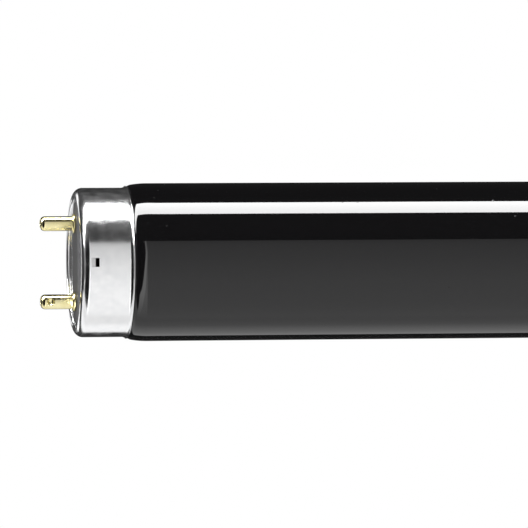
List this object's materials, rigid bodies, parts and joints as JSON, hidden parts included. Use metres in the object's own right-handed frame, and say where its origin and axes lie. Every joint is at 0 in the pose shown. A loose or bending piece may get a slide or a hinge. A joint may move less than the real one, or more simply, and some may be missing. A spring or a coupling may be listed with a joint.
{
  "type": "blacklight fluorescent tube",
  "caption": "Straight fluorescent tube of black filter glass for near-ultraviolet light, with aluminium end caps and brass contact pins in insulating plates.",
  "frame": {"origin": "middle of the tube, on its axis, half way between the two ends", "axes": "+X along the tube from the left end to the right end, +Z from the lower pin of each end to the upper one, -Y towards the side that the picture shows"},
  "size_m": [0.4484, 0.0256, 0.0258],
  "materials": {
    "black_filter_glass": "glossy, opaque black filter glass with a faint violet cast",
    "cap_aluminium": "bright drawn sheet with fine lengthwise draw lines",
    "insulating_plastic": "matt moulded, dark grey",
    "capping_cement": "baked resin cement, granular",
    "pin_brass": "bright drawn brass",
    "lead_wire_metal": "plain drawn wire, nickel plated"
  },
  "bodies": {
    "root": {"glass_envelope": "black_filter_glass", "left_cap_shell": "cap_aluminium", "right_cap_shell": "cap_aluminium", "left_insulating_plate": "insulating_plastic", "right_insulating_plate": "insulating_plastic", "left_cement_ring": "capping_cement", "right_cement_ring": "capping_cement", "left_upper_contact_pin": "pin_brass", "left_lower_contact_pin": "pin_brass", "right_upper_contact_pin": "pin_brass", "right_lower_contact_pin": "pin_brass", "left_upper_lead_wire": "lead_wire_metal", "left_lower_lead_wire": "lead_wire_metal", "right_upper_lead_wire": "lead_wire_metal", "right_lower_lead_wire": "lead_wire_metal"}
  },
  "joints": []
}
